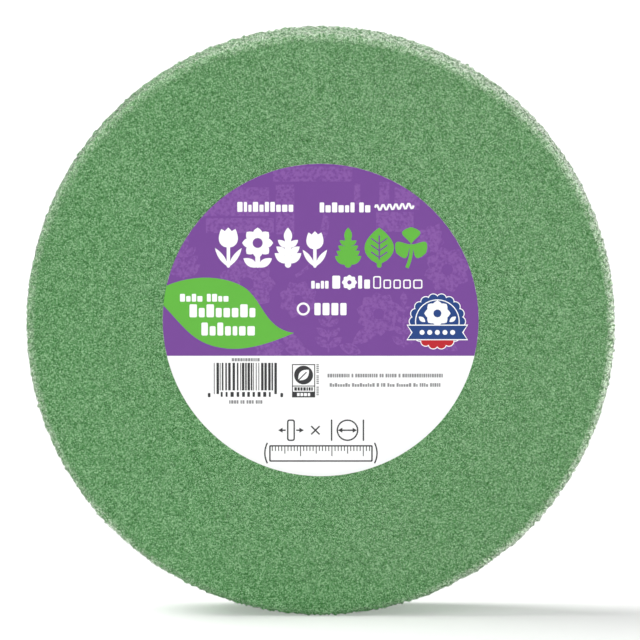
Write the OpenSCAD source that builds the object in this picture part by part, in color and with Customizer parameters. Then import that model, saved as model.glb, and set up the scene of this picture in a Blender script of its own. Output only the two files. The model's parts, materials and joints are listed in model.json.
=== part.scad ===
// Dry floral foam disc, shrink-wrapped in clear film, with a round paper label on its front face.
// It stands upright on its rim: the front face looks along -Y, +Z is up, and the origin is on
// the floor, under the middle of the disc. Millimetres.

/* [Foam disc] */
// Diameter of the foam
foam_d = 223; // [150:1:400]
// Thickness of the foam
foam_t = 30; // [15:1:100]
// Rounding of the foam's two rims
foam_edge_r = 1.5; // [0.5:0.1:5]

/* [Shrink film] */
// Thickness of the film
film_t = 0.1; // [0.05:0.01:0.3]
// Air gap between the foam and the film
film_gap = 0.05; // [0.01:0.01:0.2]

/* [Weld seam] */
// Distance from the foam's back face to the middle of the seam
seam_from_back = 7; // [6:0.5:9]
// Width of the weld bead along the side
seam_w = 1.2; // [0.6:0.1:3]
// How far the weld bead stands out from the film
seam_proud = 0.2; // [0.1:0.05:0.5]

/* [Label] */
// Diameter of the label
label_d = 120; // [60:1:140]
// Thickness of the label's paper
label_t = 0.1; // [0.05:0.01:0.3]
// Thickness of the adhesive under the paper
adhesive_t = 0.05; // [0.02:0.01:0.1]
// Margin of bare paper round the adhesive
adhesive_margin = 0.5; // [0.2:0.1:3]
// Height of the label's middle above the disc's middle
label_rise = 2.5; // [-4:0.5:4]

/* [Hidden] */
$fn = 160;
ARC_STEPS = 8;
foam_r = foam_d / 2;
film_out = film_gap + film_t;
seam_z = seam_from_back - foam_t / 2;
centre_height = foam_r + film_out + seam_proud;
// Where a turned piece's joining line lies round the disc: just past its lowest point, never on it
start_turn = -91.36;
FRONT = 1;
BACK = -1;

function reversed(points) = [for (i = [len(points) - 1:-1:0]) points[i]];

// The foam's rounded rim, grown outwards, from the flat face to the side wall
function rim_arc(grow, side) = [
    for (i = [0:ARC_STEPS])
        let (a = 90 * (1 - i / ARC_STEPS), r = foam_edge_r + grow)
        [foam_r - foam_edge_r + r * cos(a), side * (foam_t / 2 - foam_edge_r + r * sin(a))]
];

// The foam's outline on one side, grown outwards, from the disc's axis to the height end_z on its side wall
function skin_line(grow, side, end_z) = concat(
    [[0, side * (foam_t / 2 + grow)]], rim_arc(grow, side), [[foam_r + grow, end_z]]);

// Puts what is drawn round +Z in place: +Z becomes the front, and the disc stands on its rim
module stand_up() {
    translate([0, 0, centre_height]) rotate([90, 0, 0]) children();
}

// Turns an outline about the disc's axis
module turned() {
    stand_up() rotate([0, 0, start_turn]) rotate_extrude() children();
}

// One of the two shells of film: a flat face, a rounded rim and a side wall that ends at the seam
module film_shell(side) {
    turned() polygon(concat(
        skin_line(film_out, side, seam_z), reversed(skin_line(film_gap, side, seam_z))));
}

// A flat disc of the label, on the film's front face
module label_layer(d, t, lift) {
    stand_up() translate([0, label_rise, foam_t / 2 + film_out + lift]) cylinder(d = d, h = t);
}

module foam_disc() {
    color([0.42, 0.60, 0.42]) turned()
        polygon(concat(skin_line(0, BACK, 0), reversed(skin_line(0, FRONT, 0))));
}

module front_film() {
    color([0.85, 0.90, 0.85, 0.3]) film_shell(FRONT);
}

module back_film() {
    color([0.80, 0.86, 0.82, 0.3]) film_shell(BACK);
}

// The weld bead that joins the two shells: a low round ridge on the side wall
module film_seam() {
    bead_r = (seam_w * seam_w / 4 + seam_proud * seam_proud) / (2 * seam_proud);
    bead_half_angle = asin(seam_w / 2 / bead_r);
    bead_x = foam_r + film_out + seam_proud - bead_r;
    color([0.90, 0.93, 0.90]) turned() polygon([
        for (i = [-ARC_STEPS:ARC_STEPS])
            let (a = bead_half_angle * i / ARC_STEPS)
            [bead_x + bead_r * cos(a), seam_z + bead_r * sin(a)]
    ]);
}

module label_adhesive() {
    color([0.93, 0.90, 0.80]) label_layer(label_d - 2 * adhesive_margin, adhesive_t, 0);
}

module label_paper() {
    color([0.50, 0.30, 0.62]) label_layer(label_d, label_t, adhesive_t);
}

foam_disc();
front_film();
back_film();
film_seam();
label_adhesive();
label_paper();
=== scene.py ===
"""A dry floral foam disc in clear shrink film, with a round printed label, standing on its rim.

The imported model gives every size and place. Each piece of the real thing has its own operator here,
and all of them ride on the model's one body.
"""

import json
import math

import bpy
import numpy as np
from bpy.props import FloatProperty, FloatVectorProperty, PointerProperty
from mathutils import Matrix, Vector, noise
from mathutils.geometry import delaunay_2d_cdt

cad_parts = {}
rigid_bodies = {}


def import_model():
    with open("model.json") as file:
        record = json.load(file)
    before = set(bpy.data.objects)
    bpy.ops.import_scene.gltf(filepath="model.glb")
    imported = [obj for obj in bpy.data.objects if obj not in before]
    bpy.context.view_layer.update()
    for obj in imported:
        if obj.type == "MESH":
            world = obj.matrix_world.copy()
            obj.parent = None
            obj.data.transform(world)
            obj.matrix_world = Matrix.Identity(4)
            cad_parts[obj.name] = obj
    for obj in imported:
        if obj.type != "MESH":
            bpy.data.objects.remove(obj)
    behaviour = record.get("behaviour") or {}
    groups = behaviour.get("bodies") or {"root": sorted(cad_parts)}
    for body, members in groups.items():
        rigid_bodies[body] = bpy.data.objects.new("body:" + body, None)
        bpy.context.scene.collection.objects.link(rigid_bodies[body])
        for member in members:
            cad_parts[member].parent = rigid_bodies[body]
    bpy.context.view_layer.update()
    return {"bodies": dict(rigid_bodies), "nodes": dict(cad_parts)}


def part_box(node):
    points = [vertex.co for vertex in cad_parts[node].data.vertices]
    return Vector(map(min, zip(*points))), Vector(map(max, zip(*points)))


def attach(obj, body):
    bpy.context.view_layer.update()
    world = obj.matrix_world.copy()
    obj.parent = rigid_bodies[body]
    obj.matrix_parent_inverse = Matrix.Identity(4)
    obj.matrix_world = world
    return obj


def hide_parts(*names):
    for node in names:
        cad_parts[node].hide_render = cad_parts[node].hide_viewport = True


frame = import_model()

bl_info = {
    "name": "Floral foam disc",
    "version": (1, 0, 0),
    "blender": (4, 5, 0),
    "location": "View3D > Sidebar > Foam Disc",
    "description": "Builds a shrink-wrapped floral foam disc with a printed label",
    "category": "Object",
}

BODY = next(iter(frame["bodies"]))
MM = 0.001


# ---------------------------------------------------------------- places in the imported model

def middle(node):
    """Middle of a node's box."""
    low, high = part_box(node)
    return (low + high) / 2


def half_size(node):
    """Half of each side of a node's box."""
    low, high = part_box(node)
    return (high - low) / 2


CENTRE = middle("foam_disc")
FOAM_R = half_size("foam_disc").x
FOAM_HALF = half_size("foam_disc").y
LABEL_CENTRE = middle("label_paper")
LABEL_R = half_size("label_paper").x
LABEL_FRONT, LABEL_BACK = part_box("label_paper")[0].y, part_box("label_paper")[1].y
FILM_OUT = half_size("front_film").x - FOAM_R
SEAM_OUT = -(middle("film_seam").y - CENTRE.y)
SEAM_HALF = half_size("film_seam").y
SEAM_R = half_size("film_seam").x
LABEL_SIDES = 240


# ---------------------------------------------------------------- settings

COLOUR = {"min": 0.0, "max": 1.0, "size": 3, "subtype": "COLOR"}


class FoamSettings(bpy.types.PropertyGroup):
    """Shape and colour of the cut foam."""

    face_step: FloatProperty(
        name="Face grid", description="Distance between points on the two faces",
        default=1.25 * MM, min=0.5 * MM, unit="LENGTH")
    side_step: FloatProperty(
        name="Side grid", description="Distance between points on the side wall",
        default=0.75 * MM, min=0.4 * MM, unit="LENGTH")
    rim_round: FloatProperty(
        name="Rim rounding", description="Radius of the two worn rims",
        default=2.2 * MM, min=0.3 * MM, unit="LENGTH")
    lump_height: FloatProperty(
        name="Lumps", description="Height of the soft unevenness that the film follows too",
        default=0.10 * MM, min=0.0, unit="LENGTH")
    crumb_height: FloatProperty(
        name="Crumbs",
        description="Height of the coarse crumbs at the rims and on the side, which the film follows too",
        default=1.5 * MM, min=0.0, unit="LENGTH")
    grain_height: FloatProperty(
        name="Grain", description="Height of the broken cells on the cut surface",
        default=0.17 * MM, min=0.0, unit="LENGTH")
    cell_size: FloatProperty(
        name="Cell size", description="Width of one foam cell",
        default=0.40 * MM, min=0.2 * MM, unit="LENGTH")
    # The pore colour is partly the foam's own darker tone and partly painted shade in the low pores.
    dark: FloatVectorProperty(
        name="Pore colour", description="Colour deep in the open cells",
        default=(0.008, 0.076, 0.008), **COLOUR)
    mid: FloatVectorProperty(
        name="Foam colour", description="Colour of most of the foam",
        default=(0.086, 0.278, 0.085), **COLOUR)
    # The cell wall colour is partly the foam's own lighter tone and partly painted highlight on the raised
    # cell walls.
    light: FloatVectorProperty(
        name="Cell wall colour", description="Colour of the thin bright cell walls",
        default=(0.390, 0.640, 0.370), **COLOUR)


class FilmSettings(bpy.types.PropertyGroup):
    """The clear shrink film."""

    face_step: FloatProperty(
        name="Face grid", description="Distance between the film's points on the two faces",
        default=2.4 * MM, min=0.5 * MM, unit="LENGTH")
    side_step: FloatProperty(
        name="Side grid", description="Distance between the film's points on the side wall",
        default=0.70 * MM, min=0.4 * MM, unit="LENGTH")
    thickness: FloatProperty(
        name="Thickness", description="Thickness of the film as it is drawn",
        default=0.05 * MM, min=0.01 * MM, unit="LENGTH")
    pucker_height: FloatProperty(
        name="Puckers", description="Height of the fine radial puckers near the rims",
        default=0.07 * MM, min=0.0, unit="LENGTH")
    pucker_width: FloatProperty(
        name="Pucker width", description="Width of one pucker along the rim",
        default=2.4 * MM, min=0.5 * MM, unit="LENGTH")
    ior: FloatProperty(
        name="Refractive index", description="Sets how much the film mirrors",
        default=1.40, min=1.0, max=2.0)
    rim_width: FloatProperty(
        name="Rim width", description="How far in from the rim the gathered film looks white",
        default=3.0 * MM, min=0.1 * MM, unit="LENGTH")
    clear: FloatVectorProperty(
        name="Gloss colour", description="Colour of what the open film mirrors",
        default=(0.86, 0.96, 0.80), **COLOUR)
    crease: FloatVectorProperty(
        name="Crease colour", description="Colour of what the tight creases mirror",
        default=(0.17, 0.32, 0.14), **COLOUR)
    rim_haze: FloatProperty(
        name="Rim whiteness", description="How white the gathered film gets at the rim",
        default=0.75, min=0.0, max=1.0, subtype="FACTOR")


class LabelSettings(bpy.types.PropertyGroup):
    """The paper label and its inks."""

    ink_thickness: FloatProperty(
        name="Ink thickness", description="How far the print stands on the paper",
        default=0.02 * MM, min=0.005 * MM, unit="LENGTH")
    paper: FloatVectorProperty(
        name="Paper", description="Colour of the bare paper",
        default=(0.88, 0.88, 0.88), **COLOUR)
    purple: FloatVectorProperty(
        name="Purple", description="Colour of the label's upper panel",
        default=(0.150, 0.043, 0.258), **COLOUR)
    lilac: FloatVectorProperty(
        name="Lilac", description="Colour of the faint pattern on the panel",
        default=(0.205, 0.074, 0.318), **COLOUR)
    green: FloatVectorProperty(
        name="Green", description="Colour of the leaf and of the green plants",
        default=(0.100, 0.405, 0.036), **COLOUR)
    blue: FloatVectorProperty(
        name="Blue", description="Colour of the seal's upper part",
        default=(0.002, 0.036, 0.180), **COLOUR)
    red: FloatVectorProperty(
        name="Red", description="Colour of the seal's foot",
        default=(0.440, 0.005, 0.013), **COLOUR)
    black: FloatVectorProperty(
        name="Black", description="Colour of the bars and the handling sign",
        default=(0.020, 0.020, 0.022), **COLOUR)
    grey: FloatVectorProperty(
        name="Grey", description="Colour of the small lines",
        default=(0.230, 0.230, 0.235), **COLOUR)


class StageSettings(bpy.types.PropertyGroup):
    """Floor, light and camera."""

    elevation: FloatProperty(
        name="Camera elevation", description="Angle of the view above the horizon",
        default=math.radians(8.6), subtype="ANGLE")
    distance: FloatProperty(
        name="Camera distance", description="From the camera to the middle of the disc",
        default=3.0, min=0.3, unit="LENGTH")
    lens: FloatProperty(
        name="Focal length", description="Focal length of the camera in millimetres",
        default=442.2, min=20.0)
    aim_height: FloatProperty(
        name="Aim height", description="Height of the point that the camera looks at",
        default=0.1122, unit="LENGTH")
    aim_side: FloatProperty(
        name="Aim side", description="How far right of the disc's middle the camera looks",
        default=-0.25 * MM, unit="LENGTH")
    surround: FloatProperty(
        name="Surround light", description="Brightness of the white room",
        default=0.28, min=0.0)
    backdrop: FloatProperty(
        name="Backdrop", description="Brightness of the white room as the camera sees it",
        default=1.05, min=0.0)
    mirrored: FloatProperty(
        name="Mirrored light", description="Brightness of the white room in glossy surfaces",
        default=1.50, min=0.0)
    key_strength: FloatProperty(
        name="Key light", description="Strength of the soft light from above",
        default=2.6, min=0.0)
    key_size: FloatProperty(
        name="Key size", description="Angle that the soft light covers in the sky",
        default=math.radians(40.0), subtype="ANGLE")
    key_tilt: FloatProperty(
        name="Key tilt", description="How far the soft light leans to the left of straight above",
        default=math.radians(40.0), subtype="ANGLE")
    fill_strength: FloatProperty(
        name="Fill light", description="Strength of the shadowless light from the front",
        default=2.0, min=0.0)


# ---------------------------------------------------------------- meshes of turned pieces

FINE_BAND = 5 * MM  # the outer part of each face, with points as close as on the side wall
RIM_STEPS = 5  # stations round a worn rim
FEWEST_POINTS = 8  # on any ring but the one at the middle
LABEL_FADE = 4 * MM  # from the label's edge to where the foam is as uneven as elsewhere
CRUMBS_START, CRUMBS_FULL = 7 * MM, 1 * MM  # in from the rim
PUCKER_LENGTH = 14 * MM  # of the film's puckers, in from the rim

# Noise layers: wavelength, and share of the height
LUMPS = ((7 * MM, 1.0), (3.1 * MM, 0.6))
CRUMBS = ((1.5 * MM, 0.5), (0.9 * MM, 0.5))
GRAIN = ((1.9 * MM, 0.5),)


def straight(start, end, step, out):
    """Stations (radius, forward, out_radius, out_forward, depth) from start up to, not including, end."""
    (r0, f0), (r1, f1) = start, end
    count = max(1, round(math.dist(start, end) / step))
    return [(r0 + (r1 - r0) * i / count, f0 + (f1 - f0) * i / count, *out, 0.0) for i in range(count)]


def rounding(centre, radius, start, end, count):
    """Stations along an arc from the angle start up to, not including, end. Zero points straight out."""
    stations = []
    for i in range(count):
        a = start + (end - start) * i / count
        out = (math.cos(a), math.sin(a))
        stations.append((centre[0] + radius * out[0], centre[1] + radius * out[1], *out, 0.0))
    return stations


def turned_line(rim, face_step, side_step, side_end):
    """Stations from the front's middle over the rim and along the side wall, up to side_end."""
    flat_r, flat_f, fine_r = FOAM_R - rim, FOAM_HALF - rim, FOAM_R - FINE_BAND
    return (
        straight((0.0, FOAM_HALF), (fine_r, FOAM_HALF), face_step, (0.0, 1.0))
        + straight((fine_r, FOAM_HALF), (flat_r, FOAM_HALF), side_step, (0.0, 1.0))
        + rounding((flat_r, flat_f), rim, math.pi / 2, 0.0, RIM_STEPS)
        + straight((FOAM_R, flat_f), (FOAM_R, side_end), side_step, (1.0, 0.0))
    )


def flipped(stations):
    """The same stations on the disc's other side, from the side wall to the middle."""
    return [(r, -f, nr, -nf, depth) for r, f, nr, nf, depth in reversed(stations)]


def inside_out(stations, depth):
    """The same stations in the other direction and deeper: the inner face of a shell."""
    return [(r, f, nr, nf, depth) for r, f, nr, nf, _ in reversed(stations)]


def turned_points(stations, face_step, side_step, jitter=0.0, rng=None):
    """Points on rings about the disc's axis, moved along the ring by up to jitter of their distance.

    It gives their places, outward directions, depths and angles, and how many points each ring has.
    """
    counts, rings = [], []
    for r, f, nr, nf, depth in stations:
        step = side_step if r > FOAM_R - FINE_BAND else face_step
        n = 1 if r < 1e-9 else max(FEWEST_POINTS, round(2 * math.pi * r / step))
        shift = rng.uniform(-jitter, jitter, n) if jitter else 0.0
        turn = 2 * math.pi * (np.arange(n) + shift) / n
        sin, cos = np.sin(turn), np.cos(turn)
        place = np.column_stack([r * sin, np.full(n, -f), r * cos])
        out = np.column_stack([nr * sin, np.full(n, -nf), nr * cos])
        rings.append((place + np.array(CENTRE), out, np.full(n, depth), turn))
        counts.append(n)
    place, out, depth, turn = (np.concatenate(column) for column in zip(*rings))
    return place, out, depth, turn, counts


def stitched(counts):
    """Triangles between neighbouring rings, which all start at the same angle."""
    starts = np.concatenate([[0], np.cumsum(counts)])
    sheets = []
    for first, second, n1, n2 in zip(starts, starts[1:], counts, counts[1:]):
        when = np.concatenate([(np.arange(n1) + 1) / n1, (np.arange(n2) + 1) / n2])
        on_first = np.concatenate([np.ones(n1, int), np.zeros(n2, int)])[np.argsort(when, kind="stable")]
        i, j = np.cumsum(on_first) - on_first, np.cumsum(1 - on_first) - (1 - on_first)
        a = first + i % n1
        b = np.where(on_first, first + (i + 1) % n1, second + (j + 1) % n2)
        c = second + j % n2
        sheets.append(np.column_stack([a, b, c])[(a != b) & (b != c) & (a != c)])
    return np.concatenate(sheets)


def unevenness(points, layers, height):
    """Noise at each point: the sum of the layers, each with its own share of the height."""
    total = np.zeros(len(points))
    for wavelength, share in layers:
        total += height * share * np.array([noise.noise(p) for p in (points / wavelength).tolist()])
    return total


def smooth_rise(x, low, high):
    """0 below low, 1 above high, and smooth between them."""
    t = np.clip((x - low) / (high - low), 0.0, 1.0)
    return t * t * (3 - 2 * t)


def beside_label(points):
    """0 under the label, where all is pressed flat, and 1 from a few millimetres outside its edge."""
    from_label = np.hypot(points[:, 0] - LABEL_CENTRE.x, points[:, 2] - LABEL_CENTRE.z)
    return np.where(points[:, 1] > CENTRE.y, 1.0, smooth_rise(from_label, LABEL_R, LABEL_R + LABEL_FADE))


def from_axis(points):
    """Distance of each point from the disc's axis."""
    return np.hypot(points[:, 0] - CENTRE.x, points[:, 2] - CENTRE.z)


def shared_relief(points, foam):
    """The unevenness that foam and film have in common: soft lumps, and crumbs towards the rims."""
    lumps = unevenness(points, LUMPS, foam.lump_height)
    crumbs = unevenness(points, CRUMBS, foam.crumb_height)
    by_rim = smooth_rise(from_axis(points), FOAM_R - CRUMBS_START, FOAM_R - CRUMBS_FULL)
    return (lumps + crumbs * by_rim) * beside_label(points)


def new_piece(name, points, faces, material, smooth=True):
    """A mesh object that rides on the body and takes the given material as its finish."""
    mesh = bpy.data.meshes.new(name)
    mesh.from_pydata(np.asarray(points).tolist(), [], np.asarray(faces).tolist())
    mesh.polygons.foreach_set("use_smooth", [smooth] * len(mesh.polygons))
    mesh.materials.append(material)
    mesh.update()
    piece = bpy.data.objects.new(name, mesh)
    bpy.context.scene.collection.objects.link(piece)
    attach(piece, BODY)
    return piece


# ---------------------------------------------------------------- materials

class Nodes:
    """Short calls for making the nodes of one tree."""

    def __init__(self, tree):
        self.tree = tree

    def feed(self, node, inputs):
        """Fill a node's inputs: each with a link from a socket, or with a value."""
        for key, value in inputs.items():
            if isinstance(value, bpy.types.NodeSocket):
                self.tree.links.new(value, node.inputs[key])
            else:
                node.inputs[key].default_value = value

    def add(self, kind, inputs=None, **values):
        node = self.tree.nodes.new(kind)
        for key, value in values.items():
            setattr(node, key, value)
        self.feed(node, inputs or {})
        return node

    def group(self, name, build, inputs):
        """A node with the named group, which is built the first time it is asked for."""
        node = self.add("ShaderNodeGroup", node_tree=bpy.data.node_groups.get(name) or build(name))
        self.feed(node, inputs)
        return node

    def maths(self, operation, *values, clamp=False):
        node = self.add("ShaderNodeMath", dict(enumerate(values)), operation=operation, use_clamp=clamp)
        return node.outputs[0]

    def spread(self, value, low, high, to_low=0.0, to_high=1.0):
        """The value moved from the range low to high into the range to_low to to_high, and kept in it."""
        ends = {"From Min": low, "From Max": high, "To Min": to_low, "To Max": to_high}
        return self.add("ShaderNodeMapRange", {"Value": value, **ends}).outputs[0]

    def blend(self, share, first, second):
        return self.add("ShaderNodeMix", {0: share, 6: first, 7: second}, data_type="RGBA").outputs[2]

    def noise(self, where, scale, detail=2.0, roughness=0.5):
        return self.add("ShaderNodeTexNoise", {
            "Vector": where, "Scale": scale, "Detail": detail, "Roughness": roughness}).outputs["Fac"]

    def bump(self, height, distance):
        """A normal from a height that stands distance high where its value is 1."""
        return self.add("ShaderNodeBump", {"Height": height, "Distance": distance}).outputs[0]

    def object_place(self):
        return self.add("ShaderNodeTexCoord").outputs["Object"]


def new_group(name, inputs, outputs):
    """An empty shader node group with its sockets, and its input and output nodes."""
    tree = bpy.data.node_groups.new(name, "ShaderNodeTree")
    for kind, socket, default in inputs:
        made = tree.interface.new_socket(socket, in_out="INPUT", socket_type=kind)
        if default is not None:
            made.default_value = default
    for kind, socket in outputs:
        tree.interface.new_socket(socket, in_out="OUTPUT", socket_type=kind)
    nodes = Nodes(tree)
    return tree, nodes, nodes.add("NodeGroupInput"), nodes.add("NodeGroupOutput")


def build_foam_cells(name):
    """Open-cell relief and tone of cut foam, with painted shade in low pores and painted highlight on cell
    walls.
    """
    tree, n, given, result = new_group(
        name,
        [("NodeSocketVector", "Place", None), ("NodeSocketFloat", "Cells per metre", 1200.0)],
        [("NodeSocketFloat", "Tone and painted light"), ("NodeSocketFloat", "Height")],
    )
    place, scale = given.outputs["Place"], given.outputs["Cells per metre"]
    cells = n.add("ShaderNodeTexVoronoi", {"Vector": place, "Scale": scale, "Randomness": 1.0})
    own_tone = n.add("ShaderNodeSeparateColor", {"Color": cells.outputs["Color"]}).outputs[0]
    crumbs = n.noise(place, n.maths("MULTIPLY", scale, 1.9), detail=1.0)
    patches = n.noise(place, n.maths("MULTIPLY", scale, 0.11), detail=2.0)
    # The tone shares its cell and crumb noise with the height, so low places get painted shade and raised
    # cell walls get painted highlight.
    tone = n.maths("MULTIPLY_ADD", own_tone, 0.50, n.maths("MULTIPLY", crumbs, 0.9))
    tone = n.maths("ADD", tone, n.maths("MULTIPLY", patches, 0.10))
    dome = n.maths("MULTIPLY", cells.outputs["Distance"], -0.8)
    height = n.maths("ADD", n.maths("ADD", dome, n.maths("MULTIPLY", own_tone, 0.5)), crumbs)
    n.feed(result, {"Tone and painted light": n.spread(tone, 0.36, 1.14), "Height": height})
    return tree


# Where the film's look changes, in metres: to the right of the disc's axis, and up from the floor
TIGHT_LEFT_OF, SLACK_RIGHT_OF = -0.06, 0.02
WHITE_RIM_BELOW, PALE_RIM_ABOVE = 0.11, 0.20
FADES_BELOW = 0.020


def build_film_haze(name):
    """Where shrunk film lifts off the foam and where it gathers at the rims, with its fine creases."""
    tree, n, given, result = new_group(
        name,
        [("NodeSocketVector", "Place", None), ("NodeSocketFloat", "Axis height", 0.1),
         ("NodeSocketFloat", "Rim radius", 0.1), ("NodeSocketFloat", "Half thickness", 0.01),
         ("NodeSocketFloat", "Rim width", 0.004)],
        [("NodeSocketFloat", "Lift"), ("NodeSocketFloat", "Rim"), ("NodeSocketFloat", "Height"),
         ("NodeSocketFloat", "Open crease"), ("NodeSocketFloat", "Off the floor")],
    )
    place, width = given.outputs["Place"], given.outputs["Rim width"]
    parts = n.add("ShaderNodeSeparateXYZ", {"Vector": place}).outputs
    across, up = parts["X"], n.maths("SUBTRACT", parts["Z"], given.outputs["Axis height"])
    radius = n.maths("SQRT", n.maths("ADD", n.maths("MULTIPLY", across, across), n.maths("MULTIPLY", up, up)))
    outwards = n.maths("DIVIDE", n.maths("SUBTRACT", given.outputs["Rim radius"], radius), width)
    depth = n.maths("ABSOLUTE", parts["Y"])
    forwards = n.maths("DIVIDE", n.maths("SUBTRACT", given.outputs["Half thickness"], depth), width)
    from_rim = n.maths("ADD", n.maths("MAXIMUM", outwards, 0.0), n.maths("MAXIMUM", forwards, 0.0))
    by_height = n.spread(parts["Z"], WHITE_RIM_BELOW, PALE_RIM_ABOVE, 1.0, 0.4)
    slack = n.spread(across, TIGHT_LEFT_OF, SLACK_RIGHT_OF, -0.11, 0.12)
    broad = n.noise(place, 28.0, detail=1.0)
    coarse = n.noise(place, 360.0, detail=2.0, roughness=0.6)
    along = n.add("ShaderNodeVectorMath", {0: place, 1: (1.0, 0.22, 1.0)}, operation="MULTIPLY").outputs[0]
    creases = n.noise(along, 1800.0, detail=2.0, roughness=0.7)
    lift = n.maths("MULTIPLY_ADD", broad, 0.35, n.maths("MULTIPLY_ADD", coarse, 0.50, slack))
    lift = n.maths("MULTIPLY_ADD", creases, 0.70, lift)
    n.feed(result, {
        "Lift": n.spread(lift, 0.60, 0.95),
        "Rim": n.maths("MULTIPLY", n.spread(from_rim, 1.0, 0.0), by_height),
        "Height": creases,
        "Open crease": n.spread(n.noise(along, 1350.0, detail=1.0), 0.38, 0.50),
        "Off the floor": n.spread(parts["Z"], 0.0, FADES_BELOW),
    })
    return tree


def build_paper_tooth(name):
    """Fine fibre mottle of coated paper and the ink on it."""
    tree, n, given, result = new_group(
        name,
        [("NodeSocketVector", "Place", None), ("NodeSocketColor", "Colour", (0.8, 0.8, 0.8, 1.0)),
         ("NodeSocketFloat", "Mottle", 0.05), ("NodeSocketFloat", "Gloss", 0.4)],
        [("NodeSocketColor", "Colour"), ("NodeSocketFloat", "Roughness"), ("NodeSocketFloat", "Height")],
    )
    place = given.outputs["Place"]
    fibres = n.noise(place, 2600.0, detail=3.0, roughness=0.6)
    clouds = n.noise(place, 140.0, detail=2.0)
    shade = n.maths("ADD", n.maths("MULTIPLY", fibres, 0.5), n.maths("MULTIPLY", clouds, 0.5))
    swing = n.maths("MULTIPLY", n.maths("SUBTRACT", shade, 0.5), given.outputs["Mottle"])
    factor = n.maths("MULTIPLY_ADD", swing, 2.0, 1.0)
    scaled = n.add("ShaderNodeVectorMath", {0: given.outputs["Colour"], "Scale": factor}, operation="SCALE")
    n.feed(result, {
        "Colour": scaled.outputs[0],
        "Roughness": n.maths("ADD", given.outputs["Gloss"], n.maths("MULTIPLY", swing, 1.5)),
        "Height": fibres,
    })
    return tree


def new_material(name):
    """A material with its nodes, its Principled shader and its output."""
    material = bpy.data.materials.new(name)
    material.use_nodes = True
    material.node_tree.nodes.clear()
    nodes = Nodes(material.node_tree)
    shader = nodes.add("ShaderNodeBsdfPrincipled")
    nodes.add("ShaderNodeOutputMaterial", {"Surface": shader.outputs[0]})
    return material, nodes, shader


def foam_material(foam):
    """Matte green foam with open cells."""
    material, n, shader = new_material("green_foam")
    cells = n.group("foam_cells", build_foam_cells, {
        "Place": n.object_place(), "Cells per metre": 1.0 / foam.cell_size}).outputs
    tone = cells["Tone and painted light"]
    # Pore colour in the low places is painted shade, and cell wall colour on the raised walls is painted
    # highlight, both over the foam's own tone.
    colour = n.blend(n.spread(tone, 0.0, 0.5), (*foam.dark, 1.0), (*foam.mid, 1.0))
    n.feed(shader, {
        "Base Color": n.blend(n.spread(tone, 0.5, 1.0), colour, (*foam.light, 1.0)),
        "Roughness": n.spread(tone, 0.0, 1.0, 0.95, 0.7),
        "Normal": n.bump(cells["Height"], 0.22 * MM),
        "Specular IOR Level": 0.25,
    })
    return material


def film_material(name, film, gain=1.0):
    """Clear film: it mirrors more the flatter it is seen, and it whitens where it gathers at the rims."""
    material, n, shader = new_material(name)
    haze = n.group("film_haze", build_film_haze, {
        "Place": n.object_place(), "Axis height": CENTRE.z, "Rim radius": FOAM_R,
        "Half thickness": FOAM_HALF, "Rim width": film.rim_width}).outputs
    lift = haze["Lift"]
    normal = n.bump(haze["Height"], 0.7 * MM)
    mirrored = n.add("ShaderNodeFresnel", {"IOR": film.ior, "Normal": normal}).outputs[0]
    loose = n.spread(lift, 0.0, 1.0, 0.30 * gain, 1.55 * gain)
    gathered = n.maths("MULTIPLY", haze["Rim"], n.spread(lift, 0.0, 1.0, 0.3 * film.rim_haze, film.rim_haze))
    share = n.maths("MULTIPLY_ADD", mirrored, loose, gathered, clamp=True)
    share = n.maths("MULTIPLY", share, haze["Off the floor"])
    outer = n.maths("SUBTRACT", 1.0, n.add("ShaderNodeNewGeometry").outputs["Backfacing"])
    n.feed(shader, {
        "Alpha": n.maths("MULTIPLY", share, outer),
        "Normal": normal,
        "Roughness": n.spread(lift, 0.0, 1.0, 0.30, 0.16),
        "Base Color": n.blend(haze["Open crease"], (*film.crease, 1.0), (*film.clear, 1.0)),
        "Metallic": 1.0,
    })
    return material


def print_material(name, colour, gloss=0.42, mottle=0.05, worn_to=None):
    """Coated paper, or ink on it. Where it is worn, the ink takes the colour worn_to."""
    material, n, shader = new_material(name)
    place = n.object_place()
    shown = (*colour, 1.0)
    if worn_to:
        wear = n.spread(n.noise(place, 800.0, detail=3.0, roughness=0.7), 0.44, 0.60)
        shown = n.blend(wear, shown, (*worn_to, 1.0))
    tooth = n.group("paper_tooth", build_paper_tooth, {
        "Place": place, "Colour": shown, "Mottle": mottle, "Gloss": gloss}).outputs
    n.feed(shader, {
        "Base Color": tooth["Colour"],
        "Roughness": tooth["Roughness"],
        "Normal": n.bump(tooth["Height"], 0.006 * MM),
        "Specular IOR Level": 0.35,
    })
    return material


# ---------------------------------------------------------------- shapes of the print, in millimetres

PAPER = None  # a shape without ink shows the bare paper


def arc_points(x, y, r, start, end, count):
    """Points along a circle's arc, angles in degrees from the right, counter-clockwise."""
    turns = [math.radians(start + (end - start) * i / count) for i in range(count + 1)]
    return [(x + r * math.cos(t), y + r * math.sin(t)) for t in turns]


def disc(x, y, r):
    """A round spot, with more points the larger it is."""
    return arc_points(x, y, r, 0, 360, max(12, round(9 * math.sqrt(r) + 10)))[:-1]


def bar(left, low, right, high, corner=None):
    """A rectangle with round corners; without corner its ends are half-rounds."""
    r = min(right - left, high - low) / 2 if corner is None else corner
    count = 3 if r < 0.8 else 6
    middles = ((right - r, high - r), (left + r, high - r), (left + r, low + r), (right - r, low + r))
    points = []
    for quarter, (x, y) in enumerate(middles):
        start = 90 * quarter
        points += arc_points(x, y, r, start, start + 90, count) if r > 0 else [(x, y)]
    return points


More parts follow.
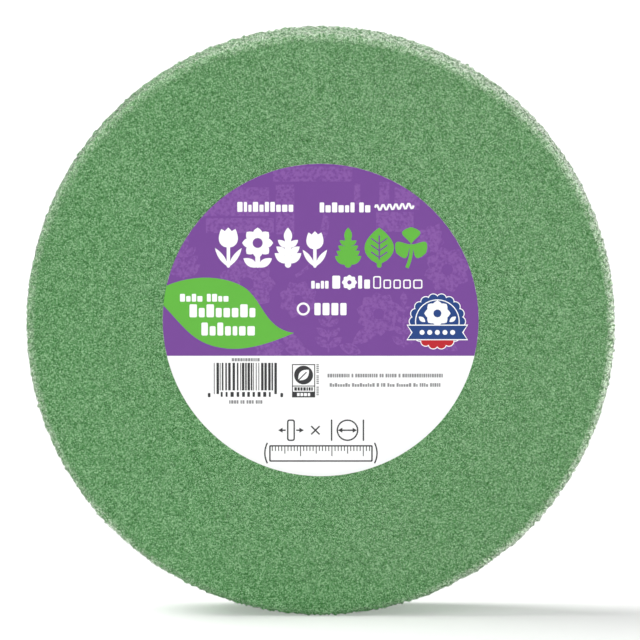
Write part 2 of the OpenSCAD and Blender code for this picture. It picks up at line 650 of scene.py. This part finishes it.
def petal(x, y, length, width, angle, belly=0.5):
    """A leaf or petal from its foot at (x, y) to its tip. belly is where along it is widest."""
    along_x, along_y = math.cos(math.radians(angle)), math.sin(math.radians(angle))
    power = math.log(0.5) / math.log(belly)
    count = 9
    points = []
    for side in (1, -1):
        for i in range(count):
            t = i / count if side == 1 else 1 - i / count
            w = side * width / 2 * math.sin(math.pi * t ** power) ** 0.85
            points.append((x + along_x * length * t - along_y * w, y + along_y * length * t + along_x * w))
    return points


def ribbon(points, width):
    """A line of even width with round ends, along the given points."""
    left, right = [], []
    for i, (x, y) in enumerate(points):
        (x0, y0), (x1, y1) = points[max(i - 1, 0)], points[min(i + 1, len(points) - 1)]
        length = math.hypot(x1 - x0, y1 - y0)
        nx, ny = -(y1 - y0) / length * width / 2, (x1 - x0) / length * width / 2
        left.append((x + nx, y + ny))
        right.append((x - nx, y - ny))
    return left + right[::-1]


def bent(p0, p1, p2, count=10):
    """Points along a quadratic curve."""
    out = []
    for i in range(count + 1):
        t = i / count
        a, b, c = (1 - t) ** 2, 2 * t * (1 - t), t * t
        out.append((a * p0[0] + b * p1[0] + c * p2[0], a * p0[1] + b * p1[1] + c * p2[1]))
    return out


def curved(knots, count):
    """An outline of cubic curves: knots are (point, handle, handle), then the next point."""
    out = []
    for (p0, h0, h1), (p1, _, _) in zip(knots, knots[1:]):
        for i in range(count):
            t = i / count
            a, b, c, d = (1 - t) ** 3, 3 * t * (1 - t) ** 2, 3 * t * t * (1 - t), t ** 3
            out.append(tuple(a * p0[k] + b * h0[k] + c * h1[k] + d * p1[k] for k in (0, 1)))
    return out


def daisy(x, y, r, petals, turn=90.0, width=0.62):
    """The petals of a flower, without its middle."""
    return [petal(x, y, r, r * width, turn + 360 * i / petals, 0.62) for i in range(petals)]


def sprig(x, low, high, pairs, leaf, lean=52.0, stem=1.1):
    """A stem with pairs of leaves and one at its tip."""
    shapes = [bar(x - stem / 2, low, x + stem / 2, high - leaf * 0.6)]
    for i in range(pairs):
        y = low + (high - leaf - low) * (i + 0.55) / pairs
        size = leaf * (1.0 - 0.12 * i)
        shapes += [petal(x, y, size, size * 0.48, 90 - lean), petal(x, y, size, size * 0.48, 90 + lean)]
    return shapes + [petal(x, high - leaf, leaf, leaf * 0.5, 90)]


def tulip(x, low, high, width):
    """A tulip on a stem with two leaves."""
    bloom = (high - low) * 0.5
    foot = high - bloom
    return [
        petal(x, foot, bloom, width * 0.62, 90, 0.42),
        petal(x - width * 0.04, foot, bloom * 0.98, width * 0.52, 108, 0.42),
        petal(x + width * 0.04, foot, bloom * 0.98, width * 0.52, 72, 0.42),
        bar(x - 0.65, low, x + 0.65, foot + 1.0),
        petal(x, low + 0.3, (foot - low) * 1.15, 2.0, 125),
        petal(x, low + 0.3, (foot - low) * 1.15, 2.0, 55),
    ]


def clover(x, low, high, r):
    """Three round leaves on a bent stem."""
    y = high - r * 1.05
    shapes = [petal(x, y, r * 1.08, r * 1.15, 90 + 120 * i, 0.66) for i in range(3)]
    return shapes + [ribbon(bent((x, y), (x + 0.4, (y + low) / 2), (x - 1.6, low)), 1.3)]


def words(left, right, low, high, letters, seed, corner=0.35, capitals=False):
    """Plain upright blocks that stand for a line of words. letters gives how many blocks each word has."""
    space, gap, small, tall_share = 0.75, 0.28, 0.72, 0.3
    rng = np.random.default_rng(seed)
    kinds = []
    for count in letters:
        for i in range(count):
            width = float(rng.choice([0.7, 0.9, 1.0, 1.15]))
            kinds.append((width, i == 0 or capitals or rng.random() < tall_share))
        kinds.append(None)
    kinds.pop()
    room = sum(space if kind is None else kind[0] + gap for kind in kinds) - gap
    unit, shapes, x = (right - left) / room, [], left
    for kind in kinds:
        if kind is None:
            x += space * unit
            continue
        width, tall = kind
        top = high if tall else low + (high - low) * small
        shapes.append(bar(x, low, x + width * unit, top, min(corner, 0.45 * width * unit)))
        x += (width + gap) * unit
    return shapes


def spots_round(x, y, reach, r, angles):
    """Round spots with their middles on a circle."""
    turns = [math.radians(angle) for angle in angles]
    return [disc(x + reach * math.cos(t), y + reach * math.sin(t), r) for t in turns]


def dots_on(left, low, right, high):
    """Small dots in rows on a band, every other row moved by half a gap."""
    gap, r = 2.3, 0.48
    rows, columns = round((high - low) / gap), round((right - left) / gap)
    return [
        disc(left + (right - left) * (column + 0.5 + 0.5 * (row % 2)) / columns,
             low + (high - low) * (row + 0.5) / rows, r)
        for row in range(rows) for column in range(columns - row % 2)]


def arrow(x0, x1, y, line, ways=(1, -1)):
    """A level line, with a head at its left end for way 1 and at its right end for way -1."""
    shapes = [ribbon([(x0 + 0.5, y), (x1 - 0.5, y)], line)]
    for way in ways:
        x, back = (x0, x0 + 1.7) if way == 1 else (x1, x1 - 1.7)
        shapes.append([(x, y), (back, y + 0.95), (back, y - 0.95)])
    return shapes


def banner(x, y, half_width, half_height, notch):
    """A flat ribbon with a notch in each end."""
    left, right, low, high = x - half_width, x + half_width, y - half_height, y + half_height
    return [(left, low), (left + notch, y), (left, high), (right, high), (right - notch, y), (right, low)]


def inked(ink, shapes):
    """The shapes, each with the ink it is printed in."""
    return [(ink, shape) for shape in shapes]


def ring(ink, inside, x, y, r, width):
    """A round line: a spot of ink with a smaller one of what is inside."""
    return [(ink, disc(x, y, r)), (inside, disc(x, y, r - width))]


def outlined(ink, inside, left, low, right, high, line, corner, inner_corner):
    """A box drawn as a line: a bar of ink with a smaller one of what is inside."""
    hollow = bar(left + line, low + line, right - line, high - line, inner_corner)
    return [(ink, bar(left, low, right, high, corner)), (inside, hollow)]


def flower(ink, inside, x, y, r, petals, middle_r, turn=90.0, width=0.62):
    """A daisy with a round middle of what is inside."""
    return inked(ink, daisy(x, y, r, petals, turn, width)) + [(inside, disc(x, y, middle_r))]


def collage():
    """The faint garden pattern on the purple panel."""
    faint, ground = "lilac", "purple"
    level_band, upright_band = (-18.0, 53.2, 12.0, 58.9), (-17.0, 33.0, -10.0, 52.0)
    bands = (
        level_band, (-46.0, 40.0, -19.5, 51.0), (-43.5, 33.5, -17.8, 39.2),
        upright_band, (12.6, 44.5, 15.0, 52.5), (22.2, 43.6, 26.0, 53.0),
        (21.0, 34.0, 35.2, 41.6), (28.0, 42.5, 37.5, 51.0))
    art = inked(faint, [bar(*band, corner=0.4) for band in bands])
    art += inked(ground, dots_on(*level_band) + dots_on(*upright_band))
    art += inked(faint, sprig(-52.0, 14.5, 34.0, 3, 8.0, stem=0.8))
    art += flower(faint, ground, -28.0, 14.0, 11.0, 9, 2.6, 80.0)
    art += flower(faint, ground, -8.5, 8.0, 7.5, 8, 1.8, 70.0)
    art += inked(faint, sprig(3.0, -12.6, 6.0, 3, 6.6, stem=0.7))
    art += inked(faint, [petal(-6.0, -12.0, 12.0, 5.0, 140), petal(-3.0, -13.0, 11.0, 4.4, 168)])
    art += inked(faint, [petal(12.0, -9.0, 13.0, 5.6, 35)])
    art += flower(faint, ground, 22.0, 2.5, 8.5, 10, 2.1, 96.0)
    art += inked(faint, sprig(31.5, -12.0, 11.0, 4, 5.6, stem=0.7))
    art += flower(faint, ground, 48.0, 19.5, 9.0, 8, 2.2, 60.0)
    art += inked(faint, [petal(38.0, 24.0, 15.0, 6.0, 62), petal(52.0, -11.5, 8.0, 4.0, 150)])
    art += inked(faint, [petal(15.5, -12.5, 9.0, 4.2, 160)])
    art += inked(faint, daisy(-19.5, -11.0, 6.0, 7, 60.0) + daisy(41.5, 31.0, 5.5, 7, 90.0))
    handle = ribbon(bent((-9.5, 17.0), (-4.0, 20.0), (-1.0, 26.0)), 1.3)
    blade = [(-2.0, 26.0), (2.6, 33.0), (3.6, 39.0), (1.2, 41.0)]
    return art + inked(faint, [handle, blade])


def main_mark():
    """Two groups of bold garden signs, white and green, where the pack has its large words."""
    foot, top = 20.2, 35.6
    bloom_x, leaf_x = -23.9, 22.2
    art = inked(PAPER, tulip(-35.0, foot, top, 8.6))
    art += flower(PAPER, "purple", bloom_x, 29.7, 5.9, 8, 1.9)
    art += inked(PAPER, [bar(bloom_x - 0.9, foot, bloom_x + 0.9, 27.4)])
    art += inked(PAPER, [petal(bloom_x, foot + 0.2, 6.4, 3.0, angle) for angle in (32, 148)])
    art += inked(PAPER, sprig(-12.4, foot, top, 3, 6.4, stem=2.4))
    art += inked(PAPER, tulip(-2.2, foot, 34.2, 7.6))
    art += inked("green", sprig(10.4, foot, top, 4, 5.9, lean=58.0, stem=2.6))
    art += inked("green", [petal(leaf_x, 21.4, 14.2, 11.2, 90, 0.45)])
    art += inked("green", [bar(leaf_x - 0.9, foot, leaf_x + 0.9, 23.0)])
    art += inked("purple", [ribbon([(leaf_x, 23.2), (leaf_x, 32.6)], 0.55)])
    for y in (25.0, 27.6, 30.2):
        for side in (1, -1):
            art += inked("purple", [ribbon([(leaf_x, y - 0.9), (leaf_x + side * 3.1, y + 1.3)], 0.5)])
    return art + inked("green", clover(34.3, foot, top, 6.1))


def small_lines():
    """Rows of plain blocks, a wavy line, a flower and a spot where the panel has its smaller words."""
    foot, low_top, high_top = 12.2, 15.7, 17.2
    art = inked(PAPER, words(-31.6, -10.4, 41.6, 45.4, (10,), 3))
    art += inked(PAPER, words(-0.4, 18.8, 41.4, 45.2, (6, 2), 4))
    wave = [(20.6 + 14.6 * i / 36, 43.2 + 1.1 * math.sin(i * 1.05) + i * 0.02) for i in range(37)]
    art += inked(PAPER, [ribbon(wave, 0.8)])
    art += inked(PAPER, words(-3.6, 3.0, foot, 15.2, (4,), 5))
    art += inked(PAPER, [bar(4.4, foot, 7.4, high_top, 0.5)])
    art += flower(PAPER, "purple", 10.9, 14.6, 2.9, 8, 0.8, width=0.7)
    art += inked(PAPER, [bar(14.2, foot, 15.7, high_top, 0.4), bar(16.5, foot, 18.7, low_top, 0.4)])
    art += outlined(PAPER, "purple", 19.9, foot, 22.9, 17.0, 0.5, 0.7, 0.3)
    for left, right in ((23.8, 26.7), (27.6, 30.4), (31.3, 34.2), (35.1, 38.6)):
        art += outlined(PAPER, "purple", left, foot, right, low_top, 0.5, 0.7, 0.3)
    art += ring(PAPER, "purple", -6.6, 4.4, 2.5, 0.8)
    return art + inked(PAPER, words(-2.4, 9.8, 2.0, 6.7, (4,), 6, 0.45, True))


def leaf():
    """The large green leaf at the panel's left, with three rows of plain blocks on it."""
    outline = curved([
        ((-64.0, 10.0), (-56.0, 16.5), (-40.0, 19.0)),
        ((-29.5, 13.0), (-22.0, 8.5), (-21.5, -3.5)),
        ((-10.1, -4.8), (-18.0, -8.2), (-27.0, -11.6)),
        ((-35.5, -10.8), (-50.0, -9.4), (-52.0, -1.0)),
        ((-64.0, 10.0), None, None),
    ], 14)
    art = [("green", outline)]
    art += inked(PAPER, words(-53.4, -35.0, 7.2, 10.2, (4, 4), 7))
    art += inked(PAPER, words(-49.8, -24.8, 1.2, 6.2, (8,), 18, 0.5))
    return art + inked(PAPER, words(-45.3, -25.0, -5.8, -0.8, (7,), 19, 0.5))


def seal():
    """A scalloped rosette with one flower and a ribbon across it."""
    x, y, r, edging = 44.3, -0.4, 10.3, 0.35
    ribbon_y = y - 4.2
    all_round = range(0, 360, 20)
    scallops = spots_round(x, y, r - 1.5, 1.75, all_round)
    art = inked(PAPER, spots_round(x, y, r - 1.5, 1.75 + edging, all_round))
    art += [(PAPER, disc(x, y, r - 1.0 + edging))]
    art += inked("blue", scallops + [disc(x, y, r - 1.0)])
    art += ring(PAPER, "blue", x, y, 8.5, 0.4)
    art += inked("red", [arc_points(x, y, 8.1, 200, 340, 20)])
    art += inked("red", [shape for shape in scallops if min(point[1] for point in shape) < y - 9.0])
    art += inked(PAPER, spots_round(x, y, 6.2, 0.75, (235, 270, 305)))
    art += flower(PAPER, "blue", x, y + 3.1, 5.0, 8, 1.5, width=0.72)
    art += inked(PAPER, [petal(x + side * 4.6, y - 0.2, 3.2, 1.7, 90 - side * 50) for side in (-1, 1)])
    art += [(PAPER, banner(x, ribbon_y, 11.7, 3.0, 1.8)), ("blue", banner(x, ribbon_y, 11.2, 2.6, 1.8))]
    return art + inked(PAPER, [disc(x + 2.9 * i, ribbon_y, 0.95) for i in range(-2, 3)])


def stock_bars():
    """Upright bars of uneven width, with plain blocks over and under them."""
    rng = np.random.default_rng(9)
    left, right, foot, top = -40.6, -16.4, -26.9, -16.3
    low, high = -29.4, -27.5
    art, x = [], left
    while x < right - 0.3:
        width = float(rng.choice([0.30, 0.30, 0.60, 0.95]))
        gap = float(rng.choice([0.30, 0.30, 0.50, 0.70]))
        longer = x < left + 2.0 or x > right - 2.2
        art.append(("black", bar(x, foot - 1.4 if longer else foot, min(x + width, right), top, 0.0)))
        x += width + gap
    for start, end, seed in ((-38.0, -28.8, 11), (-27.9, -19.0, 12)):
        art += inked("black", words(start, end, low, high, (1,) * 5, seed, 0.2, True))
    art += inked("black", [bar(start, low - 0.1, start + 1.0, high - 0.4, 0.3) for start in (-42.9, -15.3)])
    art += inked("grey", words(-33.8, -23.2, -15.7, -14.5, (11,), 13, 0.1, True))
    return art + inked("grey", words(-34.8, -22.2, -32.0, -30.7, (4, 2, 3, 3), 14, 0.1, True))


def handling_sign():
    """An outlined box with a leaf in a round spot, over a dark foot, and small dashes beside it."""
    left, low, right, high, line = -10.9, -29.6, -2.1, -16.8, 0.35
    art = [("black", bar(left, low, right, high, 0.0))]
    art += [(PAPER, bar(left + line, low + 2.2, right - line, high - line, 0.0))]
    art += inked("black", [bar(left, low + 4.2, right, low + 4.2 + line, 0.0), disc(-6.5, -21.0, 3.6)])
    art += [(PAPER, petal(-8.5, -23.0, 5.7, 3.4, 45)), ("black", ribbon([(-8.6, -23.1), (-5.4, -19.9)], 0.4))]
    art += inked("black", words(-10.0, -3.0, low + 2.6, low + 3.9, (7,), 15, 0.1, True))
    art += inked(PAPER, words(-9.0, -4.0, low + 0.5, low + 1.7, (4,), 16, 0.1, True))
    step, gap = 0.72, 0.25
    tops = [high - step * i for i in range(17) if i % 6 != 5]
    return art + inked("grey", [bar(-1.6, top - step + gap, -0.7, top, 0.0) for top in tops])


def tiny_lines():
    """Two lines of small plain blocks at the right."""
    art = inked("grey", words(2.6, 46.4, -21.9, -20.5, (10, 1, 10, 2, 5, 1, 18), 17, 0.1, True))
    return art + inked("grey", words(3.4, 45.5, -25.5, -24.1, (8, 9, 1, 2, 3, 6, 2, 4, 5), 18, 0.1))


def size_signs():
    """How thick and how wide the disc is, as signs: it edge-on and face-on between arrows."""
    line, top, low = 0.55, -38.1, -46.4
    y, r = (top + low) / 2, (top - low) / 2
    art = outlined("black", PAPER, -12.8, low, -9.8, top, line, 0.9, 0.45)
    art += inked("black", arrow(-16.2, -12.8, y, line, (1,)) + arrow(-9.8, -6.4, y, line, (-1,)))
    art += inked("black", [ribbon([(-3.6, y - rise), (-0.4, y + rise)], line) for rise in (1.6, -1.6)])
    x = 10.2
    art += ring("black", PAPER, x, y, r, line)
    art += inked("black", arrow(x - r + 0.5, x + r - 0.5, y, line))
    for middle_x in (x - r - 1.9, x + r + 1.9):
        art += inked("black", [bar(middle_x - line / 2, low, middle_x + line / 2, top)])
    return art


def ruler():
    """A plain ruler between two brackets, under the size signs."""
    left, right, foot, head, line = -19.6, 19.8, -54.4, -48.0, 0.55
    art = outlined("black", PAPER, left, foot, right, head, line, 0.5, 0.2)
    for side, x in ((-1, left), (1, right)):
        near, far = x + side * 0.7, x + side * 2.6
        bracket = bent((near, head + 0.9), (far, (head + foot) / 2), (near, foot - 0.6))
        art += inked("black", [ribbon(bracket, line)])
    marks, half_mark = 33, 0.17
    for i in range(1, marks):
        x = left + (right - left) * i / marks
        tall = 3.7 if i % 10 == 0 else 2.7 if i % 5 == 0 else 1.7
        art += inked("black", [bar(x - half_mark, head - line - tall, x + half_mark, head - line + 0.1, 0.0)])
    return art


def label_art():
    """All printed shapes in painting order: each hides what is under it."""
    panel_foot, edge = -13.6, LABEL_R / MM
    art = [("purple", disc(0.0, 0.0, edge))]
    art += collage() + main_mark() + small_lines()
    art += [(PAPER, bar(-edge - 1, -edge - 1, edge + 1, panel_foot, 0.0))]
    art += leaf() + seal() + stock_bars() + handling_sign() + tiny_lines()
    return art + size_signs() + ruler()


def contains(outline, x, y):
    """Which of the points lie inside the outline."""
    ax, ay = np.array(outline).T
    bx, by = np.roll(ax, -1), np.roll(ay, -1)
    hit = np.zeros(len(x), bool)
    near = np.flatnonzero((x >= ax.min()) & (x <= ax.max()) & (y >= ay.min()) & (y <= ay.max()))
    px, py = x[near, None], y[near, None]
    crosses = (ay[None] > py) != (by[None] > py)
    with np.errstate(divide="ignore", invalid="ignore"):
        where = ax[None] + (bx - ax)[None] * (py - ay[None]) / (by - ay)[None]
    hit[near] = (crosses & (px < where)).sum(1) % 2 == 1
    return hit


def cut_by_ink(art, edge):
    """One flat net of triangles with every outline in it, and each triangle's ink.

    The ink is that of the last shape that holds the triangle.
    """
    points, edges = [], []
    for _, outline in [(None, edge)] + art:
        first = len(points)
        points += [Vector(p) for p in outline]
        edges += [(first + i, first + (i + 1) % len(outline)) for i in range(len(outline))]
    made = delaunay_2d_cdt(points, edges, [], 0, 1e-4)
    net, triangles = np.array([tuple(p) for p in made[0]]), np.array([tuple(t) for t in made[2]])
    x, y = net[triangles].mean(1).T
    inks = np.full(len(triangles), "", dtype="<U8")
    for ink, outline in art:
        inks[contains(outline, x, y)] = ink or ""
    return net, triangles, np.where(contains(edge, x, y), inks, "")


def raised(net, triangles, back, front):
    """A closed thin slab on the flat triangles, between two heights along Y."""
    used, triangles = np.unique(triangles, return_inverse=True)
    triangles = triangles.reshape(-1, 3)
    flat = net[used] * MM
    x, z = LABEL_CENTRE.x + flat[:, 0], LABEL_CENTRE.z + flat[:, 1]
    count = len(used)
    points = np.concatenate([np.column_stack([x, np.full(count, y), z]) for y in (front, back)])
    sides = np.concatenate([triangles[:, [0, 1]], triangles[:, [1, 2]], triangles[:, [2, 0]]])
    known = {tuple(s) for s in sides.tolist()}
    rim = np.array([s for s in sides.tolist() if (s[1], s[0]) not in known])
    walls = np.concatenate([
        np.column_stack([rim[:, 1], rim[:, 0], rim[:, 0] + count]),
        np.column_stack([rim[:, 1], rim[:, 0] + count, rim[:, 1] + count])])
    return points, np.concatenate([triangles, triangles[:, ::-1] + count, walls])


# ---------------------------------------------------------------- operators

class FOAMDISC_OT_foam(bpy.types.Operator):
    """Cut the foam: a disc with worn rims and an open-celled surface"""

    bl_idname = "foam_disc.foam"
    bl_label = "Foam"

    def execute(self, context):
        foam = context.scene.foam_disc_foam
        rng = np.random.default_rng(3)
        half = turned_line(foam.rim_round, foam.face_step, foam.side_step, 0.0)
        stations = half + [(FOAM_R, 0.0, 1.0, 0.0, 0.0)] + flipped(half)
        place, out, _, _, counts = turned_points(stations, foam.face_step, foam.side_step, 0.3, rng)
        grain = rng.uniform(-1.0, 0.0, len(place)) ** 2 * -foam.grain_height
        grain += unevenness(place, GRAIN, foam.grain_height) - 0.3 * foam.grain_height
        height = shared_relief(place, foam) + grain * beside_label(place)
        points = place + out * height[:, None]
        piece = new_piece("cut_foam", points, stitched(counts), foam_material(foam))
        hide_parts("foam_disc")
        return {"FINISHED"}


def film_shell(name, node, material, film, foam, side):
    """One shell of film. side is 1 for the front one and -1 for the back one."""
    line = turned_line(foam.rim_round, film.face_step, film.side_step, side * SEAM_OUT)
    line.append((FOAM_R, side * SEAM_OUT, 1.0, 0.0, 0.0))
    stations = line + inside_out(line, film.thickness)
    if side == -1:
        stations = flipped(stations)
    place, out, depth, turn, counts = turned_points(stations, film.face_step, film.side_step)
    path = from_axis(place) - (CENTRE.y - place[:, 1]) * side
    around = np.column_stack([
        np.sin(turn) * FOAM_R / film.pucker_width,
        np.cos(turn) * FOAM_R / film.pucker_width,
        path / PUCKER_LENGTH])
    ridges = np.array([abs(noise.noise(p)) for p in around.tolist()])
    by_rim = smooth_rise(from_axis(place), FOAM_R - PUCKER_LENGTH, FOAM_R - 1 * MM)
    corners = 1.0 + 1.8 * np.abs(np.sin(2 * turn)) ** 12  # the bag's four corners gather most
    height = FILM_OUT + shared_relief(place, foam)
    height += film.pucker_height * (2 * ridges - 0.3).clip(0.0) * by_rim * corners - depth
    piece = new_piece(name, place + out * height[:, None], stitched(counts), material)
    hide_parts(node)


class FOAMDISC_OT_film(bpy.types.Operator):
    """Shrink the two shells of clear film over the foam"""

    bl_idname = "foam_disc.film"
    bl_label = "Film"

    def execute(self, context):
        film, foam = context.scene.foam_disc_film, context.scene.foam_disc_foam
        material = film_material("clear_film", film)
        film_shell("front_skin", "front_film", material, film, foam, 1)
        film_shell("back_skin", "back_film", material, film, foam, -1)
        return {"FINISHED"}


class FOAMDISC_OT_seam(bpy.types.Operator):
    """Weld the two shells together with a low uneven bead"""

    bl_idname = "foam_disc.seam"
    bl_label = "Weld seam"

    def execute(self, context):
        film = context.scene.foam_disc_film
        count, sides = 900, 10
        sunk, bead_r = 0.18 * MM, 0.20 * MM
        turn = 2 * math.pi * np.arange(count) / count
        circle = np.column_stack([np.sin(turn), np.cos(turn)])
        wander = 0.35 * MM * np.array([noise.noise((*p, 0.0)) for p in (circle * 9.0).tolist()])
        swell = 1.0 + 0.45 * np.array([noise.noise((*p, 5.0)) for p in (circle * 60.0).tolist()])
        points = []
        for k in range(sides):
            a = 2 * math.pi * k / sides
            r = SEAM_R - sunk + bead_r * math.cos(a) * swell
            forward = SEAM_OUT + wander + SEAM_HALF * math.sin(a) * swell
            x, z = circle[:, 0] * r, CENTRE.z + circle[:, 1] * r
            points.append(np.column_stack([x, CENTRE.y - forward, z]))
        points = np.concatenate(points)
        i, k = np.meshgrid(np.arange(count), np.arange(sides))
        next_i, next_k = (i + 1) % count, (k + 1) % sides
        corners = (k * count + i, next_k * count + i, next_k * count + next_i, k * count + next_i)
        faces = np.column_stack([corner.ravel() for corner in corners])
        bead = new_piece("weld_bead", points, faces, film_material("weld_film", film, 1.2))
        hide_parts("film_seam")
        return {"FINISHED"}


class FOAMDISC_OT_label(bpy.types.Operator):
    """Lay the paper label on the film"""

    bl_idname = "foam_disc.label"
    bl_label = "Label paper"

    def execute(self, context):
        label = context.scene.foam_disc_label
        thick = LABEL_BACK - LABEL_FRONT
        steps = [(r, 0.0) for r in np.linspace(0.0, LABEL_R - 0.04 * MM, 24)]
        steps += [(LABEL_R, 0.03 * MM), (LABEL_R, thick - 0.01 * MM)]
        steps += [(r, thick) for r in np.linspace(LABEL_R - 0.02 * MM, 0.0, 8)]
        counts, rings = [], []
        for r, back in steps:
            n = 1 if r == 0.0 else LABEL_SIDES
            turn = 2 * math.pi * np.arange(n) / n
            x, z = LABEL_CENTRE.x + r * np.sin(turn), LABEL_CENTRE.z + r * np.cos(turn)
            rings.append(np.column_stack([x, np.full(n, LABEL_FRONT + back), z]))
            counts.append(n)
        paper = print_material("coated_paper", label.paper, 0.5, 0.02)
        sheet = new_piece("label_sheet", np.concatenate(rings), stitched(counts), paper)
        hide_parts("label_paper")
        glue = frame["nodes"]["label_adhesive"]
        glue.data.materials.clear()
        glue.data.materials.append(print_material("clear_glue", (0.75, 0.72, 0.60), 0.25, 0.15))
        return {"FINISHED"}


class FOAMDISC_OT_print(bpy.types.Operator):
    """Print the label: one thin layer for each ink, cut so that none overlaps another"""

    bl_idname = "foam_disc.print"
    bl_label = "Label print"

    def execute(self, context):
        label = context.scene.foam_disc_label
        edge = arc_points(0.0, 0.0, LABEL_R / MM, 0, 360, LABEL_SIDES)[:-1]
        net, triangles, inks = cut_by_ink(label_art(), edge)
        for ink in ("purple", "lilac", "green", "blue", "red", "black", "grey"):
            chosen = triangles[inks == ink]
            if not len(chosen):
                raise RuntimeError(f"nothing is printed in {ink}")
            points, faces = raised(net, chosen, LABEL_FRONT, LABEL_FRONT - label.ink_thickness)
            worn_to = label.purple if ink == "lilac" else None
            finish = print_material(f"{ink}_ink", getattr(label, ink), worn_to=worn_to)
            new_piece(f"ink_{ink}", points, faces, finish, smooth=False)
        return {"FINISHED"}


class FOAMDISC_OT_stage(bpy.types.Operator):
    """Set up the floor, the light and the camera"""

    bl_idname = "foam_disc.stage"
    bl_label = "Stage"

    def execute(self, context):
        stage = context.scene.foam_disc_stage
        self.make_floor()
        self.make_light(context.scene, stage)
        self.make_camera(context.scene, stage)
        context.scene.view_settings.view_transform = "Standard"
        return {"FINISHED"}

    def make_floor(self):
        reach = 14.0
        corners = [(-reach, -reach, 0), (reach, -reach, 0), (reach, reach, 0), (-reach, reach, 0)]
        mesh = bpy.data.meshes.new("floor")
        mesh.from_pydata(corners, [], [(0, 1, 2, 3)])
        material, n, shader = new_material("pale_floor")
        tone = n.blend(n.noise(n.object_place(), 3.0), (0.90, 0.90, 0.90, 1), (0.92, 0.92, 0.92, 1))
        n.feed(shader, {"Base Color": tone, "Roughness": 1.0, "Specular IOR Level": 0.0})
        mesh.materials.append(material)
        floor = bpy.data.objects.new("floor", mesh)
        bpy.context.scene.collection.objects.link(floor)

    def make_light(self, scene, stage):
        world = bpy.data.worlds.new("white_room")
        scene.world = world
        world.use_nodes = True
        world.node_tree.nodes.clear()
        n = Nodes(world.node_tree)
        path = n.add("ShaderNodeLightPath").outputs
        seen, mirrored = stage.backdrop - stage.surround, stage.mirrored - stage.surround
        strength = n.maths("MULTIPLY_ADD", path["Is Camera Ray"], seen, stage.surround)
        strength = n.maths("MULTIPLY_ADD", path["Is Glossy Ray"], mirrored, strength)
        room = n.add("ShaderNodeBackground", {"Color": (1, 1, 1, 1), "Strength": strength})
        n.add("ShaderNodeOutputWorld", {"Surface": room.outputs[0]})
        key = self.add_sun("key", stage.key_strength, stage.key_size, (-math.tan(stage.key_tilt), 0.25, 1.0))
        key.visible_glossy = False
        fill_size, from_front = math.radians(60.0), (0.25, -0.9, 1.0)
        fill = self.add_sun("fill", stage.fill_strength, fill_size, from_front)
        fill.data.use_shadow = False

    def add_sun(self, name, strength, size, towards):
        lamp = bpy.data.lights.new(name, "SUN")
        lamp.energy, lamp.angle = strength, size
        holder = bpy.data.objects.new(name, lamp)
        holder.rotation_euler = Vector(towards).to_track_quat("Z", "Y").to_euler()
        bpy.context.scene.collection.objects.link(holder)
        return holder

    def make_camera(self, scene, stage):
        camera = bpy.data.objects.new("camera", bpy.data.cameras.new("camera"))
        camera.data.lens, camera.data.sensor_width = stage.lens, 36.0
        camera.data.clip_start, camera.data.clip_end = 0.05, 60.0
        aim = Vector((stage.aim_side, CENTRE.y, stage.aim_height))
        back = Vector((0.0, -math.cos(stage.elevation), math.sin(stage.elevation)))
        camera.location = aim + back * stage.distance
        camera.rotation_euler = (-back).to_track_quat("-Z", "Y").to_euler()
        scene.collection.objects.link(camera)
        scene.camera = camera


class FOAMDISC_PT_panel(bpy.types.Panel):
    """The disc's pieces and their settings"""

    bl_idname = "FOAMDISC_PT_panel"
    bl_label = "Floral foam disc"
    bl_space_type = "VIEW_3D"
    bl_region_type = "UI"
    bl_category = "Foam Disc"

    def draw(self, context):
        for operator, group in STEPS:
            self.layout.operator(operator.bl_idname)
            settings = getattr(context.scene, group)
            column = self.layout.column(align=True)
            for name in settings.__annotations__:
                column.prop(settings, name)


SETTINGS = {
    "foam_disc_foam": FoamSettings,
    "foam_disc_film": FilmSettings,
    "foam_disc_label": LabelSettings,
    "foam_disc_stage": StageSettings,
}
STEPS = (
    (FOAMDISC_OT_stage, "foam_disc_stage"),
    (FOAMDISC_OT_foam, "foam_disc_foam"),
    (FOAMDISC_OT_film, "foam_disc_film"),
    (FOAMDISC_OT_seam, "foam_disc_film"),
    (FOAMDISC_OT_label, "foam_disc_label"),
    (FOAMDISC_OT_print, "foam_disc_label"),
)
CLASSES = (*SETTINGS.values(), *(operator for operator, _ in STEPS), FOAMDISC_PT_panel)


def register():
    for made in CLASSES:
        bpy.utils.register_class(made)
    for name, group in SETTINGS.items():
        setattr(bpy.types.Scene, name, PointerProperty(type=group))


def unregister():
    for name in SETTINGS:
        delattr(bpy.types.Scene, name)
    for made in reversed(CLASSES):
        bpy.utils.unregister_class(made)


def main():
    register()
    bpy.ops.foam_disc.stage()
    bpy.ops.foam_disc.foam()
    bpy.ops.foam_disc.film()
    bpy.ops.foam_disc.seam()
    bpy.ops.foam_disc.label()
    bpy.ops.foam_disc.print()


if __name__ == "__main__":
    main()
